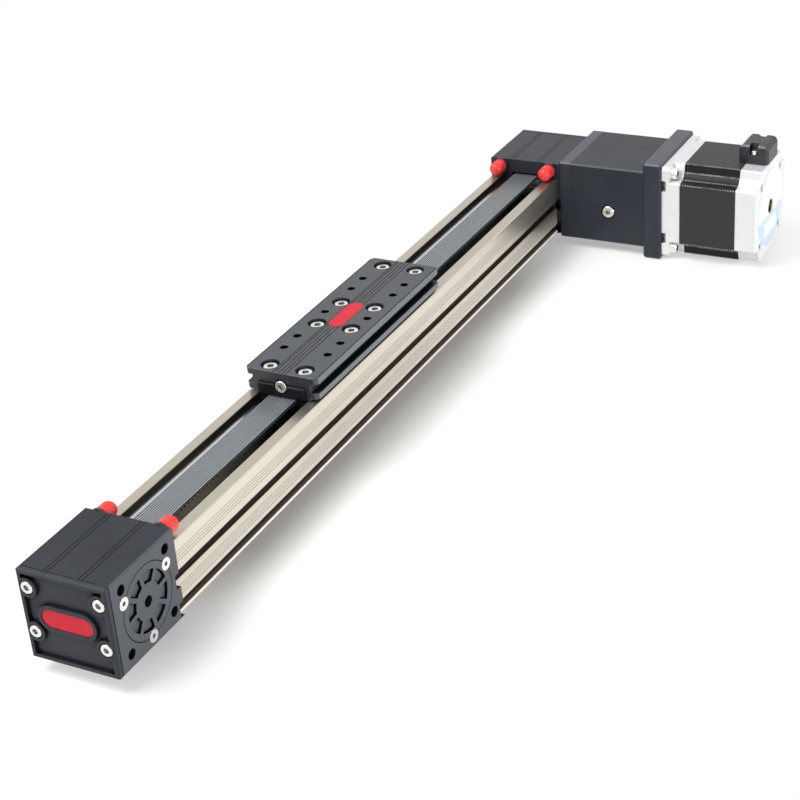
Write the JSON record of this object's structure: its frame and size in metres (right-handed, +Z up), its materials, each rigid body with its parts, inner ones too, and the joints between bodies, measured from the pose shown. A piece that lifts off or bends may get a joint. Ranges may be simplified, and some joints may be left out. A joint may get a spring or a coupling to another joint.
{
  "type": "belt driven linear axis",
  "caption": "Belt driven linear axis: aluminium rail with side slots, roller guided carriage between rubber bumpers, pulley blocks at both ends and a square motor set across one end.",
  "frame": {"origin": "middle of the rail's underside", "axes": "+X along the rail towards the motor end, the motor points to -Y, +Z up out of the carriage"},
  "size_m": [0.5302, 0.1675, 0.0698],
  "materials": {
    "rail_anodised": "champagne anodised, fine drawn lines",
    "black_anodised": "charcoal black anodised, fine matte",
    "plate_anodised": "dark grey anodised, fine matte",
    "steel_ground": "ground and polished",
    "screw_steel": "bright plated",
    "belt_rubber": "ribbed, satin",
    "red_rubber": "satin red",
    "red_badge": "glossy red",
    "motor_cast": "fine cast silver",
    "motor_black": "satin black lacquer over laminations",
    "black_plastic": "fine moulded",
    "label_film": "white film with a pale blue field",
    "copper_wire": "enamelled wire and a bare brass rim",
    "pulley_alloy": "turned",
    "roller_polymer": "hard machined",
    "spider_elastomer": "satin"
  },
  "bodies": {
    "frame": {"rail_profile": "rail_anodised", "guide_shaft_left": "steel_ground", "guide_shaft_right": "steel_ground", "timing_belt": "belt_rubber", "idler_block": "black_anodised", "drive_block": "black_anodised", "idler_end_cover": "black_anodised", "drive_end_cover": "black_anodised", "end_cover_screws": "screw_steel", "end_badges": "red_badge", "block_screws": "screw_steel", "idler_bearing_cover_front": "black_anodised", "idler_bearing_cover_back": "black_anodised", "drive_bearing_cover": "black_anodised", "bearing_cover_screws": "screw_steel", "bearing_outer_rings": "steel_ground", "bearing_balls": "steel_ground", "idler_bumpers": "red_rubber", "drive_bumpers": "red_rubber", "bumper_seats": "black_plastic", "adapter_plate": "black_anodised", "coupling_housing": "black_anodised", "access_plug": "screw_steel", "housing_screws": "screw_steel", "motor_flange": "black_anodised", "motor_screws": "screw_steel", "motor_front_cap": "motor_cast", "motor_stator_stack": "motor_black", "motor_windings": "copper_wire", "motor_rear_cap": "motor_cast", "motor_case_screws": "screw_steel", "motor_bearing_rings": "steel_ground", "motor_label": "label_film", "motor_rear_ring": "copper_wire", "connector_housing": "black_plastic", "connector_screw": "screw_steel", "connector_header": "black_plastic"},
    "carriage": {"carriage_plate": "plate_anodised", "carriage_body": "black_anodised", "carriage_plate_screws": "screw_steel", "carriage_badge": "red_badge", "belt_clamps": "black_anodised", "belt_clamp_screws": "screw_steel", "roller_axles": "steel_ground"},
    "idler_rotor": {"idler_pulley": "pulley_alloy", "idler_shaft": "steel_ground", "idler_inner_rings": "steel_ground"},
    "drive_rotor": {"drive_pulley": "pulley_alloy", "drive_shaft": "steel_ground", "drive_inner_rings": "steel_ground", "coupling_hub_drive": "pulley_alloy", "coupling_hub_motor": "pulley_alloy", "coupling_spider": "spider_elastomer", "coupling_screws": "screw_steel", "motor_shaft": "steel_ground", "motor_rotor": "steel_ground"},
    "guide_roller_1": {"guide_roller_1": "roller_polymer"},
    "guide_roller_2": {"guide_roller_2": "roller_polymer"},
    "guide_roller_3": {"guide_roller_3": "roller_polymer"},
    "guide_roller_4": {"guide_roller_4": "roller_polymer"}
  },
  "joints": [
    {"name": "carriage_slide", "type": "slide", "parent": "frame", "child": "carriage", "axis": [1, 0, 0], "range_m": [-0.1172, 0.1492]},
    {"name": "idler_spin", "type": "hinge", "parent": "frame", "child": "idler_rotor", "pos_m": [-0.235, 0, 0.02275], "axis": [0, 1, 0], "range_deg": [-568, 722]},
    {"name": "drive_spin", "type": "hinge", "parent": "frame", "child": "drive_rotor", "pos_m": [0.239, 0, 0.02275], "axis": [0, 1, 0], "range_deg": [-568, 722]},
    {"name": "roller_1_spin", "type": "hinge", "parent": "carriage", "child": "guide_roller_1", "pos_m": [-0.064, 0.002, 0.028], "axis": [0, 0, 1], "range_deg": [-735, 935]},
    {"name": "roller_2_spin", "type": "hinge", "parent": "carriage", "child": "guide_roller_2", "pos_m": [-0.04, -0.002, 0.028], "axis": [0, 0, 1], "range_deg": [-935, 735]},
    {"name": "roller_3_spin", "type": "hinge", "parent": "carriage", "child": "guide_roller_3", "pos_m": [0.008, -0.002, 0.028], "axis": [0, 0, 1], "range_deg": [-935, 735]},
    {"name": "roller_4_spin", "type": "hinge", "parent": "carriage", "child": "guide_roller_4", "pos_m": [0.032, 0.002, 0.028], "axis": [0, 0, 1], "range_deg": [-735, 935]}
  ],
  "couplings": [
    {"joint": "idler_spin", "follows": "carriage_slide", "rad_per_m": 83.776},
    {"joint": "drive_spin", "follows": "carriage_slide", "rad_per_m": 83.776},
    {"joint": "roller_1_spin", "follows": "carriage_slide", "rad_per_m": 108.7},
    {"joint": "roller_2_spin", "follows": "carriage_slide", "rad_per_m": -108.7},
    {"joint": "roller_3_spin", "follows": "carriage_slide", "rad_per_m": -108.7},
    {"joint": "roller_4_spin", "follows": "carriage_slide", "rad_per_m": 108.7}
  ]
}
